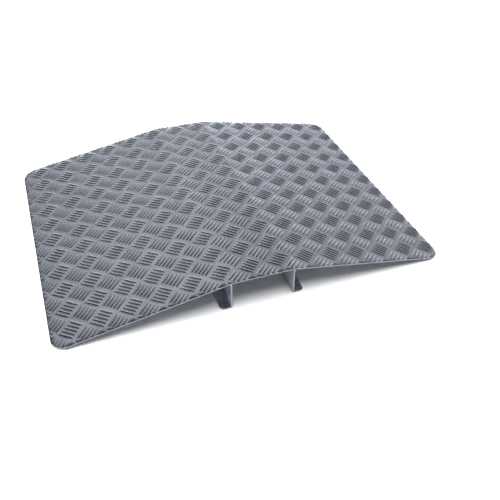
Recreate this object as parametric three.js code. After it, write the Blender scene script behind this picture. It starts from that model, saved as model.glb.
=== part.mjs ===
import * as THREE from 'three';

// A bridge ramp for a doorstep. One sheet of aluminium tread plate is folded into a level top with
// a slope on each side, and stands on two L-shaped legs, one at each side of the step.
// Millimetres. +X is the way that wheels roll over it, +Y is across it and +Z is up. The origin is
// on the floor under the middle of the level top.

const rampLength = 900;
const rampWidth = 700;
const rampHeight = 75;
const sheet = 3; // plate thickness, without the raised tread bars
const channelWidth = 140; // clear width between the legs, and the length of the level top
const cornerRadius = 35;
const foldRadius = 9; // of the deck's upper face
const foldSteps = 4;
const cornerSteps = 10;

const footReach = 27; // from a leg's inner face to the outer edge of its foot
const footCornerRadius = 10;
const legBendRadius = 6; // of the leg's smooth face
const legBendSteps = 6;
const legSetback = 5; // from the deck's side edge to the end of a leg
const contactGap = 0.3; // between pieces that touch

const weldsPerLeg = 4;
const weldPitch = 180;
const weldLength = 40;
const weldSize = 5; // along each of the two faces that a bead joins
const weldCrown = 0.7; // how far a bead bulges
const weldTaper = 3; // length of a bead's rounded end
const weldTaperInset = 0.8;

const slopeRun = (rampLength - channelWidth) / 2;
const slopeAngle = findSlopeAngle();
const slopeLength = slopeRun / Math.cos(slopeAngle);
const webOuterFace = channelWidth / 2 + sheet;

const plate = new THREE.MeshStandardMaterial({ color: 0x83868f, roughness: 0.45, metalness: 0.85 });
const legPlate = new THREE.MeshStandardMaterial({ color: 0x787b84, roughness: 0.5, metalness: 0.85 });
const weldMetal = new THREE.MeshStandardMaterial({ color: 0x9a9ca2, roughness: 0.6, metalness: 0.8 });

// Each slope comes down until the lower edge of the sheet's end rests on the floor.
function findSlopeAngle() {
  let angle = 0;
  for (let pass = 0; pass < 20; pass++) {
    angle = Math.atan((rampHeight - sheet * Math.cos(angle)) / slopeRun);
  }
  return angle;
}

function deckUnderside(x) {
  const belowFold = (x - channelWidth / 2) * Math.tan(slopeAngle);
  return rampHeight - belowFold - sheet / Math.cos(slopeAngle);
}

// One straight line across a folded sheet. front is on the face that the outline follows, back is
// on the other face, and through is the direction from front to back in the XZ plane.
function crossing(x, z, through, halfWidth) {
  return {
    front: new THREE.Vector2(x, z),
    back: new THREE.Vector2(x + sheet * Math.cos(through), z + sheet * Math.sin(through)),
    halfWidth,
  };
}

// A closed sheet through a row of crossings: a box with one segment between each two neighbours.
function foldedSheet(crossings) {
  const segments = crossings.length - 1;
  const geometry = new THREE.BoxGeometry(segments, 2, 2, segments, 1, 1);
  const position = geometry.getAttribute('position');
  for (let i = 0; i < position.count; i++) {
    const line = crossings[Math.round(position.getX(i) + segments / 2)];
    const point = position.getZ(i) > 0 ? line.front : line.back;
    position.setXYZ(i, point.x, position.getY(i) * line.halfWidth, point.y);
  }
  geometry.computeVertexNormals();
  return geometry;
}

// Crossings of the deck's fold and rounded end on one side, from the level top outwards.
function deckSide(side) {
  const foldStart = channelWidth / 2 - foldRadius * Math.tan(slopeAngle / 2);
  const crossings = [];
  for (let i = 0; i <= foldSteps; i++) {
    const turn = (slopeAngle * i) / foldSteps;
    const x = foldStart + foldRadius * Math.sin(turn);
    const z = rampHeight - foldRadius * (1 - Math.cos(turn));
    crossings.push(crossing(side * x, z, -Math.PI / 2 - side * turn, rampWidth / 2));
  }
  for (let i = 0; i <= cornerSteps; i++) {
    const angle = ((Math.PI / 2) * i) / cornerSteps;
    const along = slopeLength - cornerRadius * (1 - Math.sin(angle));
    const x = channelWidth / 2 + along * Math.cos(slopeAngle);
    const z = rampHeight - along * Math.sin(slopeAngle);
    const halfWidth = rampWidth / 2 - cornerRadius * (1 - Math.cos(angle));
    crossings.push(crossing(side * x, z, -Math.PI / 2 - side * slopeAngle, halfWidth));
  }
  return crossings;
}

function deckGeometry() {
  return foldedSheet([...deckSide(-1).reverse(), ...deckSide(1)]);
}

// The +X leg, from the rounded edge of its foot along the floor and up to the deck.
function legGeometry() {
  const halfLength = rampWidth / 2 - legSetback;
  const webTop = deckUnderside(webOuterFace) - contactGap;
  const bendCentre = channelWidth / 2 + legBendRadius;
  const crossings = [];
  for (let i = 0; i <= cornerSteps; i++) {
    const angle = (Math.PI / 2) * (1 - i / cornerSteps);
    const x = channelWidth / 2 + footReach - footCornerRadius * (1 - Math.sin(angle));
    const halfWidth = halfLength - footCornerRadius * (1 - Math.cos(angle));
    crossings.push(crossing(x, 0, Math.PI / 2, halfWidth));
  }
  for (let i = 0; i <= legBendSteps; i++) {
    const turn = ((Math.PI / 2) * i) / legBendSteps;
    const x = bendCentre - legBendRadius * Math.sin(turn);
    const z = legBendRadius * (1 - Math.cos(turn));
    crossings.push(crossing(x, z, Math.PI / 2 - turn, halfLength));
  }
  crossings.push(crossing(channelWidth / 2, webTop, 0, halfLength));
  return foldedSheet(crossings);
}

// A fillet weld in the corner between the +X leg's outer face and the slope above it.
function weldGeometry() {
  const rootX = webOuterFace + contactGap;
  const root = new THREE.Vector2(rootX, deckUnderside(rootX) - contactGap);
  const toeOnWeb = new THREE.Vector2(root.x, root.y - weldSize);
  const toeOnDeck = new THREE.Vector2(
    root.x + weldSize * Math.cos(slopeAngle),
    root.y - weldSize * Math.sin(slopeAngle),
  );
  const middle = toeOnWeb.clone().add(toeOnDeck).divideScalar(2);
  const outwards = middle.clone().sub(root).setLength(2 * weldCrown);
  const crown = middle.add(outwards);
  const section = new THREE.Shape();
  section.moveTo(root.x, root.y);
  section.lineTo(toeOnWeb.x, toeOnWeb.y);
  section.quadraticCurveTo(crown.x, crown.y, toeOnDeck.x, toeOnDeck.y);
  return new THREE.ExtrudeGeometry(section, {
    depth: weldLength - 2 * weldTaper,
    curveSegments: 4,
    bevelThickness: weldTaper,
    bevelSize: weldTaperInset,
    bevelOffset: -weldTaperInset,
    bevelSegments: 2,
  });
}

function leg(name) {
  const mesh = new THREE.Mesh(legGeometry(), legPlate);
  mesh.name = name;
  return mesh;
}

function weld(name, centreY) {
  const mesh = new THREE.Mesh(weldGeometry(), weldMetal);
  mesh.name = name;
  mesh.rotation.x = Math.PI / 2; // the section's Y becomes up, and the bead runs along -Y
  mesh.position.y = centreY + weldLength / 2 - weldTaper;
  return mesh;
}

// A leg with the row of welds that holds it. The -X one is the same, turned half round.
function legAndWelds(side) {
  const assembly = new THREE.Group();
  assembly.add(leg(`${side}_leg`));
  for (let i = 0; i < weldsPerLeg; i++) {
    const centreY = (i - (weldsPerLeg - 1) / 2) * weldPitch;
    assembly.add(weld(`${side}_weld_${i + 1}`, centreY));
  }
  return assembly;
}

const ramp = new THREE.Group();

const deck = new THREE.Mesh(deckGeometry(), plate);
deck.name = 'deck_plate';
ramp.add(deck);

ramp.add(legAndWelds('right'));

const leftSide = legAndWelds('left');
leftSide.rotation.z = Math.PI;
ramp.add(leftSide);

export default ramp;
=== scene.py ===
import math
import random

import bmesh
import bpy
from mathutils import Matrix, Vector
from mathutils.geometry import delaunay_2d_cdt


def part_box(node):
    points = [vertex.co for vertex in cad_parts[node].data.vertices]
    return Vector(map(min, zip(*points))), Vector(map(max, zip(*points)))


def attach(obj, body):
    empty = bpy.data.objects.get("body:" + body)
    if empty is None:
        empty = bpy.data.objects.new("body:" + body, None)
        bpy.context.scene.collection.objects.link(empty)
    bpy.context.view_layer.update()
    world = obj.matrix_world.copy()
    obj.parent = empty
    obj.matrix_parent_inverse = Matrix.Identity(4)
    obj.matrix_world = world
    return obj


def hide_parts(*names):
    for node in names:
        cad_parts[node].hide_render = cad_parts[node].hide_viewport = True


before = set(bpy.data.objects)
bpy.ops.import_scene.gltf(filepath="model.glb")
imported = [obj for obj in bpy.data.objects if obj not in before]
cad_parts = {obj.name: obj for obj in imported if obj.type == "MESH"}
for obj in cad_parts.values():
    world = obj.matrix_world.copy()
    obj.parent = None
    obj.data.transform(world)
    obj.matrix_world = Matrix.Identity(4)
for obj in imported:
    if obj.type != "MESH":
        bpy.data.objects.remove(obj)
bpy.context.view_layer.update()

# A bridge ramp of aluminium tread plate: a folded deck on two L-shaped legs, with their welds.
# Each sheet is made flat, with its raised bars, then cut to its outline and folded.
# Metres, in the frame of the CAD model: +X is the way wheels roll, +Y across, +Z up.

MM = 0.001

SHEET = 3.0 * MM
EDGE_BREAK = 0.3 * MM  # the small chamfer round every cut edge
MERGE_DISTANCE = 0.01 * MM
CUT_TOLERANCE = 0.001 * MM
SHARP_EDGE = math.radians(60)

# Five-bar tread, as diamonds in a centred lattice. Every second diamond has its bars the other way.
TREAD_PITCH_ALONG = 65.4 * MM
TREAD_PITCH_ACROSS = 63.1 * MM
BARS_PER_GROUP = 5
BAR_PITCH = 8.7 * MM
BAR_HALF_LENGTH = 17.0 * MM
BAR_HALF_WIDTH = 2.1 * MM
BAR_HEIGHT = 1.5 * MM
BAR_DIRECTION = math.radians(45)
BAR_STATIONS = 3  # from a bar's middle to its tip

# For delaunay_2d_cdt: keep the triangles inside the loops, and its smallest distance.
DELAUNAY_FACES = 1
DELAUNAY_TOLERANCE = 1e-7

# From a bar's foot to its ridge: (share of the half width, share of the height).
BAR_PROFILE = ((1.2, 0.0), (0.95, 0.2), (0.68, 0.7), (0.35, 0.95), (0.0, 1.0))

CORNER_STEPS = 10
SLOPE_PASSES = 20  # far more than the slope needs to settle
DECK_CORNER_RADIUS = 35 * MM
DECK_FOLD_RADIUS = 9 * MM
FOLD_STEPS = 4
FOOT_CORNER_RADIUS = 10 * MM
LEG_INNER_RADIUS = 3 * MM
LEG_FOLD_STEPS = 8
LEG_TOP_CORNER_RADIUS = 0.5 * MM

# Middle of one group of bars on the flat sheet: from the middle of the deck, and on a leg from the
# middle of its top edge.
DECK_FIRST_GROUP = (-411 * MM, -307 * MM, 0)
LEFT_LEG_FIRST_GROUP = (26 * MM, -11 * MM, 0)
RIGHT_LEG_FIRST_GROUP = (-5 * MM, -26 * MM, 0)

WELD_GAP = 0.3 * MM
WELD_STEP = 0.4 * MM
WELD_RIPPLE = 0.07  # height of a ripple, and of the random part, as shares of the bead's size
WELD_UNEVENNESS = 0.01
WELD_RIPPLE_PITCH = 2.2 * MM
WELD_BLUNT_END = 0.04  # keeps the two ends of a bead from narrowing to a point
WELD_ARC_STEPS = 7
WELD_FLATNESS = 0.2

DULL_ALUMINIUM = (0.38, 0.41, 0.475, 1)
CLEAN_ALUMINIUM = (0.46, 0.495, 0.57, 1)
BRIGHT_ALUMINIUM = (0.72, 0.745, 0.79, 1)
# Painted shade: the darker tone painted on the back of every sheet and on its cut edges.
BACK_PAINTED_SHADE = (0.3, 0.32, 0.355, 1)
METALLIC = 0.4  # the dull oxide scatters the rest of the light
WORN_FROM = 0.75  # share of a bar's height at which the bright tone starts
WORN_SHARE = 0.5  # how much of the bright tone a bar's ridge shows

# Noises: how far the three axes are stretched, scale, detail and roughness.
CLOUD_NOISE = ((1, 1, 0), 22, 4, 0.55)
GRAIN_NOISE = ((30, 900, 200), 1, 2, 0.6)
SPECK_NOISE = ((1, 1, 1), 420, 2, 0.6)
SOOT_NOISE = ((1, 1, 1), 160, 3, 0.6)
GRIT_NOISE = ((1, 1, 1), 900, 2, 0.5)
NOISE_LOW, NOISE_HIGH = 0.3, 0.7  # where nearly all values of a noise lie
SOOT_LOW = 0.35  # below this the weld is clean
TREAD_ROUGHNESS = (0.37, 0.31)  # where the oxide is thick, and where it is thin
GRAIN_ROUGHNESS = 0.02
TREAD_BUMP = (0.05 * MM, 0.5)  # depth and strength
WELD_ROUGHNESS = (0.4, 0.6)
WELD_BUMP = (0.1 * MM, 0.6)

FLOOR_RADIUS = 20.0
FLOOR_SEGMENTS = 96
FLOOR_WHITE = (0.9, 0.9, 0.9, 1)
BACKDROP = (0.9, 0.9, 0.9, 1)
# Brightness of the walls and ceiling, as the ramp sees them, by the sine of the elevation.
WALL_LIGHT = ((0.0, 0.12), (0.3, 0.07), (1.0, 0.05))
# Soft boxes: azimuth, elevation, width and height in degrees, and brightness. Azimuth 0 is at -Y.
SOFT_BOX_DISTANCE = 5.0
KEY_LIGHT = (149, 20, 14, 14, 118)
GLINT_LIGHT = (174, 8, 40, 10, 2.8)
SHEEN_LIGHT = (192, 46, 40, 30, 1.1)
FLOOR_SUN = 6.0
FLOOR_SUN_SPREAD = math.radians(64)

# Angles in degrees. The camera's azimuth is measured as a soft box's is.
CAMERA_AZIMUTH = -20.34
CAMERA_ELEVATION = 39.08
CAMERA_ROLL = 0.62
CAMERA_DISTANCE = 1.518
CAMERA_AIM = (0.0323, -0.1729, 0.0)
CAMERA_LENS = 45.64


# ---- geometry of a folded sheet ----

class FoldedLine:
    """The tread face of a folded sheet seen from its edge: straight runs and bends in the XZ plane."""

    def __init__(self, x, z, heading):
        self.end = (x, z, heading)
        self.length = 0.0
        self.stretches = []
        self.creases = []

    def add(self, length, turn=0.0):
        """A stretch that turns by so many radians, anticlockwise seen from -Y."""
        self.stretches.append((self.length, self.end, turn / length))
        self.length += length
        self.end = self.at(self.length)

    def bend(self, radius, turn, steps):
        start = self.length
        self.add(radius * abs(turn), turn)
        self.creases += [start + (self.length - start) * i / steps for i in range(steps + 1)]

    def at(self, station):
        """x, z and heading at a distance along the line."""
        reached = [stretch for stretch in self.stretches if stretch[0] <= station]
        begin, (x, z, heading), curvature = (reached or self.stretches[:1])[-1]
        gone = station - begin
        turned = heading + curvature * gone
        if curvature == 0:
            return x + gone * math.cos(heading), z + gone * math.sin(heading), heading
        x += (math.sin(turned) - math.sin(heading)) / curvature
        z -= (math.cos(turned) - math.cos(heading)) / curvature
        return x, z, turned

    def place(self, point):
        """Where a point of the flat sheet, (station, y, height over the tread face), comes to lie."""
        x, z, heading = self.at(point.x)
        return Vector((x - point.z * math.sin(heading), point.y, z + point.z * math.cos(heading)))


class Blank:
    """The flat outline of a sheet: a rectangle whose corners have one radius at each end."""

    def __init__(self, length, width, start_radius, end_radius):
        self.length = length
        self.half_width = width / 2
        self.radii = (start_radius, end_radius)

    def core(self, station, y):
        """The nearest point of the rectangle that the corners' centres span."""
        start_radius, end_radius = self.radii
        radius = start_radius if station < self.length / 2 else end_radius
        along = min(max(station, start_radius), self.length - end_radius)
        across = min(max(y, radius - self.half_width), self.half_width - radius)
        return along, across

    def outward(self, station, y):
        along, across = self.core(station, y)
        return Vector((station - along, y - across, 0)).normalized()

    def corners(self, inset):
        """The outline's points, anticlockwise, moved in by inset."""
        points = []
        for quarter in range(4):
            at_end = quarter in (0, 3)
            radius = self.radii[1] if at_end else self.radii[0]
            centre_along = self.length - radius if at_end else radius
            centre_across = (self.half_width - radius) * (1 if quarter < 2 else -1)
            for step in range(CORNER_STEPS + 1):
                angle = math.pi / 2 * (quarter + step / CORNER_STEPS)
                points.append(Vector((
                    centre_along + (radius - inset) * math.cos(angle),
                    centre_across + (radius - inset) * math.sin(angle),
                    0,
                )))
        return points


# ---- tread ----

def bar_mesh(middle, direction):
    """One raised bar, a rounded rib that narrows to a point at both ends.

    Gives its vertices, its faces and the vertices round its foot.
    """
    along = Vector((math.cos(direction), math.sin(direction), 0))
    across = Vector((-along.y, along.x, 0))
    other_side = [(-share, rise) for share, rise in reversed(BAR_PROFILE[:-1])]
    rows = [*BAR_PROFILE, *other_side]
    vertices = [middle - along * BAR_HALF_LENGTH, middle + along * BAR_HALF_LENGTH]
    stations = range(1 - BAR_STATIONS, BAR_STATIONS)
    for share, rise in rows:
        for i in stations:
            u = math.sin(math.pi / 2 * i / BAR_STATIONS)
            v = share * BAR_HALF_WIDTH * (1 - u * u)
            z = rise * BAR_HEIGHT * math.sqrt(1 - u * u)
            vertices.append(middle + along * (u * BAR_HALF_LENGTH) + across * v + Vector((0, 0, z)))
    count = len(stations)
    faces = []
    for row in range(len(rows) - 1):
        left = 2 + row * count
        right = left + count
        faces.append((0, right, left))
        for i in range(count - 1):
            faces.append((left + i, right + i, right + i + 1, left + i + 1))
        faces.append((left + count - 1, right + count - 1, 1))
    last = 2 + (len(rows) - 1) * count
    outline = [0, *range(last, last + count), 1, *range(2 + count - 1, 1, -1)]
    return vertices, faces, outline


def tread_tile(direction):
    """A diamond of plate with one group of bars: vertices and faces, with the top face up."""
    across = Vector((-math.sin(direction), math.cos(direction), 0))
    half_along = Vector((TREAD_PITCH_ALONG / 2, 0, 0))
    half_across = Vector((0, TREAD_PITCH_ACROSS / 2, 0))
    vertices = [half_along, half_across, -half_along, -half_across]
    faces = []
    loops = [[0, 1, 2, 3]]
    for i in range(BARS_PER_GROUP):
        offset = (i - (BARS_PER_GROUP - 1) / 2) * BAR_PITCH
        bar_vertices, bar_faces, outline = bar_mesh(across * offset, direction)
        first = len(vertices)
        vertices += bar_vertices
        faces += [tuple(first + k for k in face) for face in bar_faces]
        loops.append([first + k for k in outline])
    used = [k for loop in loops for k in loop]
    numbers = {k: i for i, k in enumerate(used)}
    _, _, triangles, originals, _, owners = delaunay_2d_cdt(
        [vertices[k].xy for k in used],
        [],
        [[numbers[k] for k in loop] for loop in loops],
        DELAUNAY_FACES,
        DELAUNAY_TOLERANCE,
        True,
    )
    for triangle, inside in zip(triangles, owners):
        if inside == [0]:
            faces.append(tuple(used[originals[k][0]] for k in triangle))
    return vertices, faces


def tread_plane(blank, first_group):
    """Flat tread plate that reaches past the blank on every side, as a bmesh."""
    tiles = [tread_tile(-BAR_DIRECTION), tread_tile(BAR_DIRECTION)]
    vertices, faces = [], []
    half_along, half_across = TREAD_PITCH_ALONG / 2, TREAD_PITCH_ACROSS / 2
    first_column = math.floor((-half_along - first_group.x) / half_along)
    last_column = math.ceil((blank.length + half_along - first_group.x) / half_along)
    first_row = math.floor((-blank.half_width - half_across - first_group.y) / half_across)
    last_row = math.ceil((blank.half_width + half_across - first_group.y) / half_across)
    for column in range(first_column, last_column + 1):
        for row in range(first_row, last_row + 1):
            if (column + row) % 2:
                continue
            middle = first_group + Vector((column * half_along, row * half_across, 0))
            tile_vertices, tile_faces = tiles[column % 2]
            base = len(vertices)
            vertices += [middle + v for v in tile_vertices]
            faces += [tuple(base + k for k in face) for face in tile_faces]
    mesh = bpy.data.meshes.new("flat")
    mesh.from_pydata(vertices, [], faces)
    bm = bmesh.new()
    bm.from_mesh(mesh)
    bpy.data.meshes.remove(mesh)
    bmesh.ops.remove_doubles(bm, verts=bm.verts[:], dist=MERGE_DISTANCE)
    return bm


def everything(bm):
    return bm.verts[:] + bm.edges[:] + bm.faces[:]


def trim(bm, blank):
    """Cuts the sheet to its blank, less the broken edge that close_sheet adds."""
    corners = blank.corners(EDGE_BREAK)
    for start, end in zip(corners, corners[1:] + corners[:1]):
        run = end - start
        if run.length < MERGE_DISTANCE:
            continue
        bmesh.ops.bisect_plane(
            bm, geom=everything(bm), dist=CUT_TOLERANCE, plane_co=start,
            plane_no=Vector((run.y, -run.x, 0)), clear_outer=True,
        )


def close_sheet(bm, blank):
    """Adds the cut edge, with its broken corners, and the smooth back."""
    edges = [e for e in bm.edges if e.is_boundary]
    steps = (
        (EDGE_BREAK, lambda z: z - EDGE_BREAK),
        (0.0, lambda z: EDGE_BREAK - SHEET),
        (-EDGE_BREAK, lambda z: -SHEET),
    )
    for outward, level in steps:
        made = bmesh.ops.extrude_edge_only(bm, edges=edges)["geom"]
        edges = [g for g in made if isinstance(g, bmesh.types.BMEdge)]
        for v in (g for g in made if isinstance(g, bmesh.types.BMVert)):
            v.co += blank.outward(v.co.x, v.co.y) * outward
            v.co.z = level(v.co.z)
    bmesh.ops.contextual_create(bm, geom=edges)


def folded_sheet(name, line, blank, first_group):
    """A sheet of tread plate as one closed mesh, cut to its blank and folded along its line."""
    bm = tread_plane(blank, first_group)
    trim(bm, blank)
    close_sheet(bm, blank)
    for station in line.creases:
        bmesh.ops.bisect_plane(
            bm, geom=everything(bm), dist=CUT_TOLERANCE,
            plane_co=(station, 0, 0), plane_no=(1, 0, 0),
        )
    bmesh.ops.recalc_face_normals(bm, faces=bm.faces[:])
    flat = [v.co.copy() for v in bm.verts]
    for v in bm.verts:
        v.co = line.place(v.co)
    for face in bm.faces:
        face.smooth = True
    for edge in bm.edges:
        edge.smooth = edge.calc_face_angle(0) < SHARP_EDGE
    mesh = bpy.data.meshes.new(name)
    bm.to_mesh(mesh)
    bm.free()
    place = mesh.attributes.new("sheet_place", "FLOAT_VECTOR", "POINT")
    place.data.foreach_set("vector", [c for v in flat for c in v])
    piece = bpy.data.objects.new(name, mesh)
    bpy.context.scene.collection.objects.link(piece)
    return piece


# ---- the three sheets ----

deck_low, deck_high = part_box("deck_plate")
leg_low, leg_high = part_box("right_leg")
half_top = leg_low.x  # the legs stand under the two folds
slope_run = deck_high.x - half_top


def find_slope():
    """The slope that brings the lower edge of the sheet's end down to the floor."""
    angle = 0.0
    for _ in range(SLOPE_PASSES):
        angle = math.atan((deck_high.z - SHEET * math.cos(angle)) / slope_run)
    return angle


SLOPE = find_slope()


def deck():
    tangent = DECK_FOLD_RADIUS * math.tan(SLOPE / 2)
    slope_length = slope_run / math.cos(SLOPE) - tangent
    line = FoldedLine(deck_low.x, SHEET * math.cos(SLOPE), SLOPE)
    line.add(slope_length)
    line.bend(DECK_FOLD_RADIUS, -SLOPE, FOLD_STEPS)
    line.add(2 * (half_top - tangent))
    line.bend(DECK_FOLD_RADIUS, -SLOPE, FOLD_STEPS)
    line.add(slope_length)
    blank = Blank(line.length, deck_high.y - deck_low.y, DECK_CORNER_RADIUS, DECK_CORNER_RADIUS)
    first_group = Vector((line.length / 2, 0, 0)) + Vector(DECK_FIRST_GROUP)
    return folded_sheet("deck_tread_sheet", line, blank, first_group)


def leg(side, first_group):
    """The right leg, from the deck down to its foot and out; the left one is turned half round."""
    line = FoldedLine(half_top + SHEET, leg_high.z, -math.pi / 2)
    line.add(leg_high.z - leg_low.z - SHEET - LEG_INNER_RADIUS)
    line.bend(LEG_INNER_RADIUS, math.pi / 2, LEG_FOLD_STEPS)
    line.add(leg_high.x - half_top - SHEET - LEG_INNER_RADIUS)
    blank = Blank(line.length, leg_high.y - leg_low.y, LEG_TOP_CORNER_RADIUS, FOOT_CORNER_RADIUS)
    piece = folded_sheet(f"{side}_leg_tread_sheet", line, blank, Vector(first_group))
    if side == "left":
        piece.data.transform(Matrix.Rotation(math.pi, 4, "Z"))
    return piece


# ---- welds ----

def weld_bead(name, node, seed):
    """A fillet bead with the overlapping ripples that a weld pool leaves."""
    low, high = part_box(node)
    side = 1 if low.x > 0 else -1
    web = min(abs(low.x), abs(high.x)) - WELD_GAP
    root = Vector((web, 0, high.z + WELD_GAP))
    reach = high.z - low.z + WELD_GAP
    draw = random.Random(seed)
    bm = bmesh.new()
    rings = []
    count = round((high.y - low.y) / WELD_STEP)
    for i in range(count + 1):
        y = low.y + (high.y - low.y) * i / count
        from_end = min(y - low.y, high.y - y)
        taper = math.sqrt(min(1, from_end / reach + WELD_BLUNT_END))
        ripple = 1 + WELD_RIPPLE * abs(math.sin(math.pi * y / WELD_RIPPLE_PITCH))
        ripple += draw.uniform(-WELD_UNEVENNESS, WELD_UNEVENNESS)
        size = reach * taper * ripple
        ring = [bm.verts.new((side * root.x, y, root.z))]
        for j in range(WELD_ARC_STEPS + 1):
            share = j / WELD_ARC_STEPS
            angle = -math.pi / 2 + share * (math.pi / 2 - SLOPE)
            bulge = 1 - WELD_FLATNESS * math.sin(math.pi * share)
            x = root.x + size * bulge * math.cos(angle)
            z = root.z + size * bulge * math.sin(angle)
            ring.append(bm.verts.new((side * x, y, z)))
        rings.append(ring)
    for a, b in zip(rings, rings[1:]):
        for j in range(len(a)):
            k = (j + 1) % len(a)
            bm.faces.new((a[j], a[k], b[k], b[j]))
    bm.faces.new(rings[0])
    bm.faces.new(rings[-1])
    bmesh.ops.recalc_face_normals(bm, faces=bm.faces[:])
    for face in bm.faces:
        face.smooth = len(face.verts) == 4
    mesh = bpy.data.meshes.new(name)
    bm.to_mesh(mesh)
    bm.free()
    piece = bpy.data.objects.new(name, mesh)
    bpy.context.scene.collection.objects.link(piece)
    return piece


# ---- materials ----

class Nodes:
    """Short names for building a node tree."""

    def __init__(self, tree):
        self.tree = tree
        tree.nodes.clear()

    def add(self, kind, **settings):
        node = self.tree.nodes.new(kind)
        for name, value in settings.items():
            setattr(node, name, value)
        return node

    def join(self, source, target):
        self.tree.links.new(source, target)

    def number(self, operation, *values):
        node = self.add("ShaderNodeMath", operation=operation)
        for socket, value in zip(node.inputs, values):
            self.feed(socket, value)
        return node.outputs[0]

    def feed(self, socket, value):
        if isinstance(value, bpy.types.NodeSocket):
            self.join(value, socket)
        else:
            socket.default_value = value

    def spread(self, value, low, high, out_low, out_high):
        """Maps low..high to out_low..out_high, and holds the ends beyond them."""
        node = self.add("ShaderNodeMapRange", clamp=True)
        for socket, number in zip(node.inputs, (value, low, high, out_low, out_high)):
            self.feed(socket, number)
        return node.outputs[0]

    def noise(self, vector, stretch, scale, detail, roughness):
        mapping = self.add("ShaderNodeMapping")
        mapping.inputs["Scale"].default_value = stretch
        self.join(vector, mapping.inputs["Vector"])
        node = self.add("ShaderNodeTexNoise")
        node.inputs["Scale"].default_value = scale
        node.inputs["Detail"].default_value = detail
        node.inputs["Roughness"].default_value = roughness
        self.join(mapping.outputs[0], node.inputs["Vector"])
        return node.outputs["Fac"]

    def mix(self, factor, a, b):
        node = self.add("ShaderNodeMix", data_type="RGBA")
        self.feed(node.inputs["Factor"], factor)
        for socket, value in zip([s for s in node.inputs if s.type == "RGBA"], (a, b)):
            self.feed(socket, value)
        return next(s for s in node.outputs if s.type == "RGBA")

    def bump(self, height, depth, strength):
        node = self.add("ShaderNodeBump")
        node.inputs["Distance"].default_value = depth
        node.inputs["Strength"].default_value = strength
        self.join(height, node.inputs["Height"])
        return node.outputs[0]

    def aluminium(self, tone, roughness, normal):
        """Ends the tree in a partly metallic shader."""
        shader = self.add("ShaderNodeBsdfPrincipled")
        shader.inputs["Metallic"].default_value = METALLIC
        self.join(tone, shader.inputs["Base Color"])
        self.join(roughness, shader.inputs["Roughness"])
        self.join(normal, shader.inputs["Normal"])
        output = self.add("ShaderNodeOutputMaterial")
        self.join(shader.outputs[0], output.inputs["Surface"])


def tread_aluminium():
    """Mill-finish aluminium: rolling grain, cloudy oxide, bar tops rubbed brighter, and a back and cut
    edges painted darker as painted shade.
    """
    material = bpy.data.materials.new("tread_aluminium")
    material.use_nodes = True
    n = Nodes(material.node_tree)
    place = n.add("ShaderNodeAttribute", attribute_name="sheet_place").outputs["Vector"]
    split = n.add("ShaderNodeSeparateXYZ")
    n.join(place, split.inputs[0])
    height = split.outputs["Z"]

    clouds = n.noise(place, *CLOUD_NOISE)
    grain = n.noise(place, *GRAIN_NOISE)
    specks = n.noise(place, *SPECK_NOISE)
    worn = n.spread(height, WORN_FROM * BAR_HEIGHT, BAR_HEIGHT, 0.0, 1.0)
    # Painted shade: a mask over the back and the cut edges, which take the darker tone.
    back = n.spread(height, -2 * EDGE_BREAK, 0, 1, 0)

    clean = n.spread(clouds, NOISE_LOW, NOISE_HIGH, 0, 1)
    tone = n.mix(clean, DULL_ALUMINIUM, CLEAN_ALUMINIUM)
    tone = n.mix(n.number("MULTIPLY", worn, WORN_SHARE), tone, BRIGHT_ALUMINIUM)
    tone = n.mix(back, tone, BACK_PAINTED_SHADE)
    rough = n.spread(clouds, NOISE_LOW, NOISE_HIGH, *TREAD_ROUGHNESS)
    fine = n.spread(grain, NOISE_LOW, NOISE_HIGH, -GRAIN_ROUGHNESS, GRAIN_ROUGHNESS)
    bump = n.bump(n.number("ADD", grain, specks), *TREAD_BUMP)
    n.aluminium(tone, n.number("ADD", rough, fine), bump)
    return material


def weld_aluminium():
    """Bright weld metal with patches of soot."""
    material = bpy.data.materials.new("weld_aluminium")
    material.use_nodes = True
    n = Nodes(material.node_tree)
    place = n.add("ShaderNodeTexCoord").outputs["Object"]
    soot = n.noise(place, *SOOT_NOISE)
    grit = n.noise(place, *GRIT_NOISE)
    tone = n.mix(n.spread(soot, SOOT_LOW, NOISE_HIGH, 0, 1), BRIGHT_ALUMINIUM, DULL_ALUMINIUM)
    rough = n.spread(soot, NOISE_LOW, NOISE_HIGH, *WELD_ROUGHNESS)
    n.aluminium(tone, rough, n.bump(grit, *WELD_BUMP))
    return material


def floor_white():
    material = bpy.data.materials.new("floor_white")
    material.use_nodes = True
    n = Nodes(material.node_tree)
    shader = n.add("ShaderNodeBsdfDiffuse")
    shader.inputs["Color"].default_value = FLOOR_WHITE
    output = n.add("ShaderNodeOutputMaterial")
    n.join(shader.outputs[0], output.inputs["Surface"])
    return material


# ---- studio ----

def studio_world():
    """Dim walls that fall off to a darker ceiling, behind a pale backdrop that only the camera sees."""
    world = bpy.data.worlds.new("studio")
    world.use_nodes = True
    bpy.context.scene.world = world
    n = Nodes(world.node_tree)
    direction = n.add("ShaderNodeTexCoord").outputs["Generated"]
    split = n.add("ShaderNodeSeparateXYZ")
    n.join(direction, split.inputs[0])
    ramp = n.add("ShaderNodeValToRGB")
    ramp.color_ramp.interpolation = "LINEAR"
    stops = ramp.color_ramp.elements
    while len(stops) < len(WALL_LIGHT):
        stops.new(0.5)
    for stop, (height, level) in zip(stops, WALL_LIGHT):
        stop.position = height
        stop.color = (level, level, level, 1)
    n.join(split.outputs["Z"], ramp.inputs[0])
    seen = n.add("ShaderNodeLightPath").outputs["Is Camera Ray"]
    background = n.add("ShaderNodeBackground")
    n.join(n.mix(seen, ramp.outputs[0], BACKDROP), background.inputs["Color"])
    output = n.add("ShaderNodeOutputWorld")
    n.join(background.outputs[0], output.inputs["Surface"])


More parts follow.
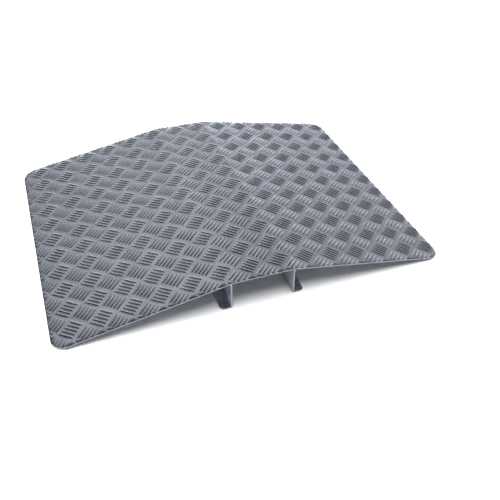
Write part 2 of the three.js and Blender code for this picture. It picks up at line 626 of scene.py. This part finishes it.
def studio_floor():
    bm = bmesh.new()
    bmesh.ops.create_circle(bm, cap_ends=True, segments=FLOOR_SEGMENTS, radius=FLOOR_RADIUS)
    mesh = bpy.data.meshes.new("studio_floor")
    bm.to_mesh(mesh)
    bm.free()
    floor = bpy.data.objects.new("studio_floor", mesh)
    bpy.context.scene.collection.objects.link(floor)
    mesh.materials.append(floor_white())
    return floor


def soft_box(name, azimuth, elevation, width, height, brightness):
    """A rectangular soft light that points at the ramp, given by what the ramp sees of it."""
    a, e = math.radians(azimuth), math.radians(elevation)
    direction = Vector((math.sin(a) * math.cos(e), -math.cos(a) * math.cos(e), math.sin(e)))
    data = bpy.data.lights.new(name, "AREA")
    data.shape = "RECTANGLE"
    data.size = 2 * SOFT_BOX_DISTANCE * math.tan(math.radians(width / 2))
    data.size_y = 2 * SOFT_BOX_DISTANCE * math.tan(math.radians(height / 2))
    data.energy = brightness * math.pi * data.size * data.size_y
    light = bpy.data.objects.new(name, data)
    light.location = direction * SOFT_BOX_DISTANCE
    light.rotation_euler = direction.to_track_quat("Z", "Y").to_euler()
    bpy.context.scene.collection.objects.link(light)
    return light


def floor_sun():
    """Even light from overhead, so that the floor stays pale out to its edge."""
    data = bpy.data.lights.new("overhead", "SUN")
    data.energy = FLOOR_SUN
    data.angle = FLOOR_SUN_SPREAD
    light = bpy.data.objects.new("overhead", data)
    bpy.context.scene.collection.objects.link(light)
    return light


def light_only(light, receivers):
    """Keeps a light off everything but the receivers."""
    collection = bpy.data.collections.new(f"{light.name}_receivers")
    for receiver in receivers:
        collection.objects.link(receiver)
    light.light_linking.receiver_collection = collection


def camera():
    a, e = math.radians(CAMERA_AZIMUTH), math.radians(CAMERA_ELEVATION)
    back = Vector((math.sin(a) * math.cos(e), -math.cos(a) * math.cos(e), math.sin(e)))
    data = bpy.data.cameras.new("camera")
    data.lens = CAMERA_LENS
    piece = bpy.data.objects.new("camera", data)
    turn = Matrix.Rotation(math.radians(CAMERA_ROLL), 4, "Z")
    piece.matrix_world = (
        Matrix.Translation(Vector(CAMERA_AIM) + back * CAMERA_DISTANCE)
        @ back.to_track_quat("Z", "Y").to_matrix().to_4x4()
        @ turn
    )
    bpy.context.scene.collection.objects.link(piece)
    bpy.context.scene.camera = piece


# ---- the whole scene ----

pieces = []
tread = tread_aluminium()
for piece, node in (
    (deck(), "deck_plate"),
    (leg("left", LEFT_LEG_FIRST_GROUP), "left_leg"),
    (leg("right", RIGHT_LEG_FIRST_GROUP), "right_leg"),
):
    piece.data.materials.append(tread)
    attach(piece, "root")
    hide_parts(node)
    pieces.append(piece)

weld = weld_aluminium()
for seed, node in enumerate(sorted(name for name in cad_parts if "_weld_" in name)):
    piece = weld_bead(f"{node}_bead", node, seed)
    piece.data.materials.append(weld)
    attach(piece, "root")
    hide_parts(node)
    pieces.append(piece)

studio_world()
floor = studio_floor()
light_only(floor_sun(), [floor])
# The key gives the relief, and the other two only the gloss.
key = soft_box("key", *KEY_LIGHT)
key.visible_glossy = False
light_only(key, pieces)
for name, box in (("glint", GLINT_LIGHT), ("sheen", SHEEN_LIGHT)):
    light = soft_box(name, *box)
    light.visible_diffuse = False
    light_only(light, pieces)
camera()
bpy.context.scene.view_settings.view_transform = "Standard"
